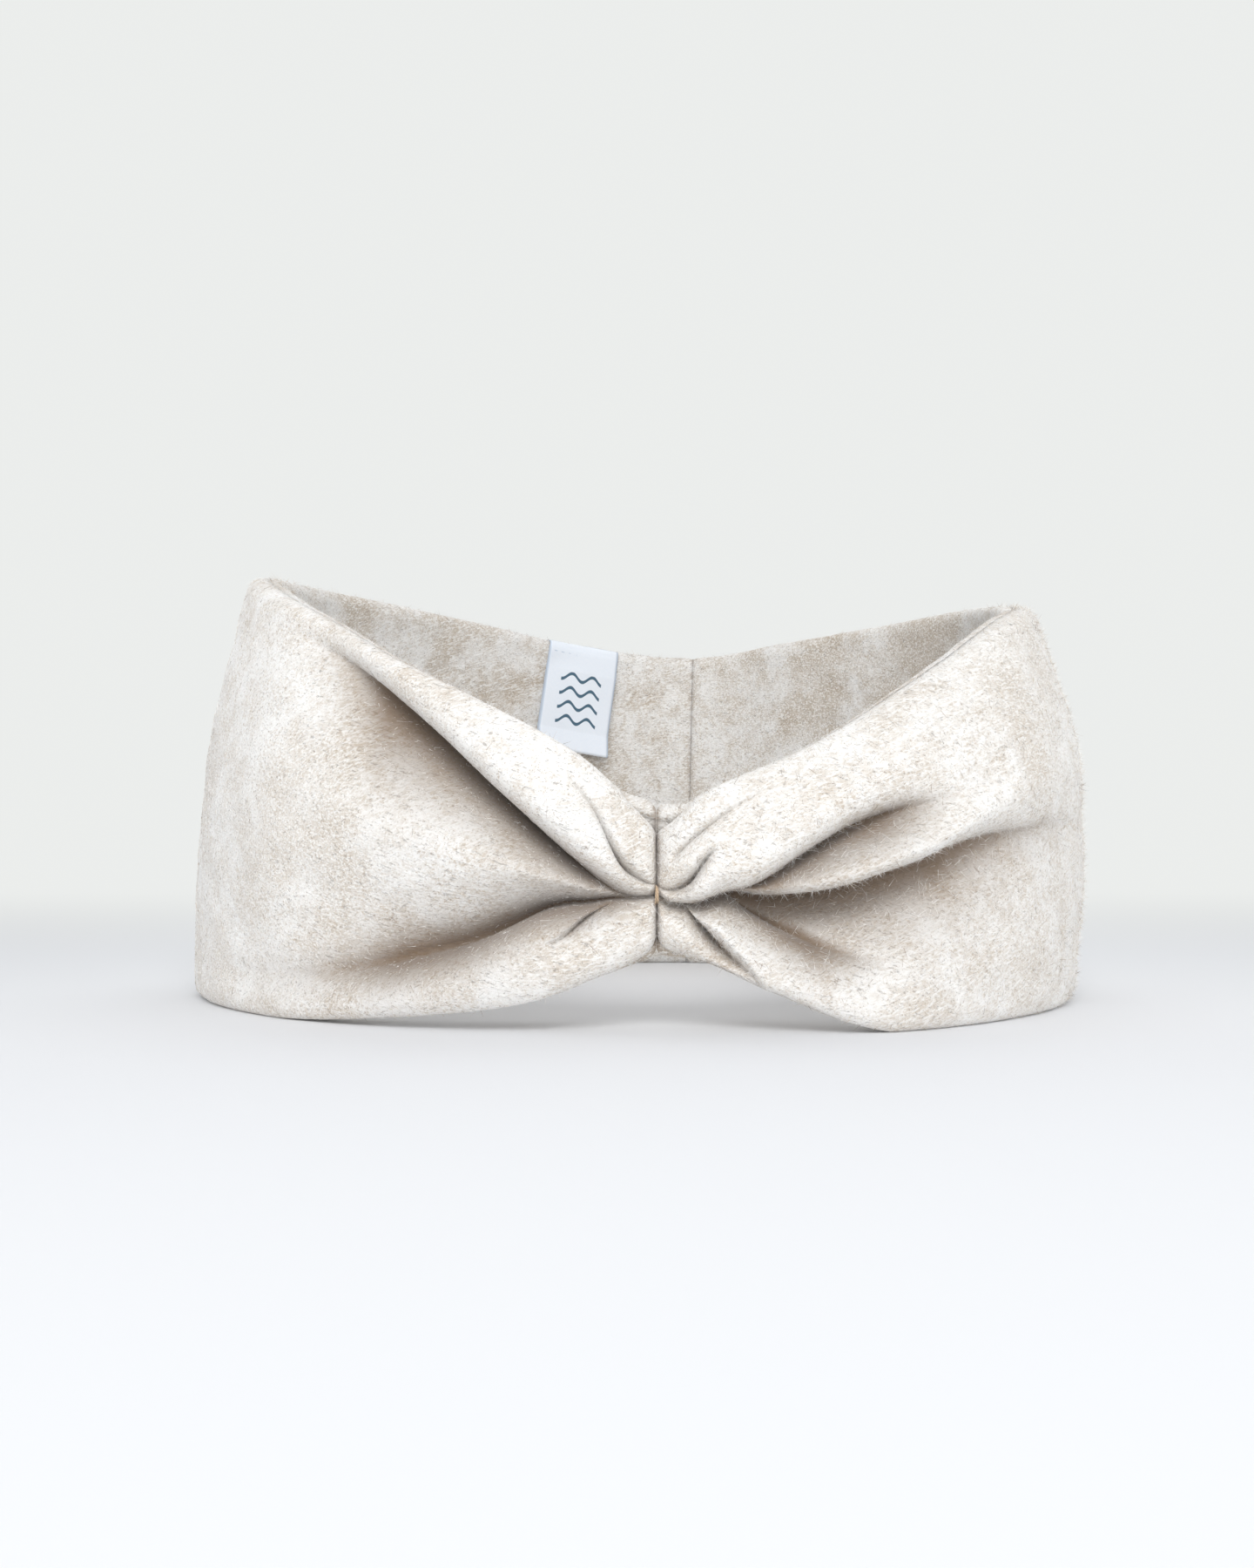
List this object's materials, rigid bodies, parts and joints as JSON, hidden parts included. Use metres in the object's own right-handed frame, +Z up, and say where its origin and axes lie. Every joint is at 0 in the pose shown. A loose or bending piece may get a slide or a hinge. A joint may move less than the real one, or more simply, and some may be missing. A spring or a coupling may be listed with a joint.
{
  "type": "spa headband",
  "caption": "Soft felted-wool headband, double layer, gathered at the centre front, plain seam behind, with a loop label inside the back edge.",
  "frame": {"origin": "middle of the bounding box at the bottom, where the lower edge stands on a table", "axes": "+Z up, +X across the widest way of the loop, the gathered front faces -Y"},
  "size_m": [0.2074, 0.1794, 0.1],
  "materials": {
    "felt": "soft matt cream and oatmeal felted wool with grey and tan flecks",
    "lining_felt": "soft matt cream and oatmeal felted wool",
    "seam_thread": "matt spun sewing thread, oatmeal",
    "tie_thread": "matt tan hand-sewing thread",
    "label_satin": "pale blue woven satin ribbon with a soft sheen",
    "label_thread": "pale sewing thread"
  },
  "bodies": {
    "band": {"outer_right": "felt", "outer_left": "felt", "lining_right": "lining_felt", "lining_left": "lining_felt", "top_edge_thread": "seam_thread", "bottom_edge_thread": "seam_thread", "front_seam_thread": "seam_thread", "outer_back_seam_thread": "seam_thread", "lining_back_seam_thread": "seam_thread", "gather_tie": "tie_thread", "label_stitches": "label_thread"},
    "label": {"label": "label_satin"}
  },
  "joints": [
    {"name": "label_flip", "type": "hinge", "parent": "band", "child": "label", "pos_m": [-0.01528, 0.0677, 0.09052], "axis": [-0.9291, -0.3697, 0], "range_deg": [0, 105]}
  ]
}
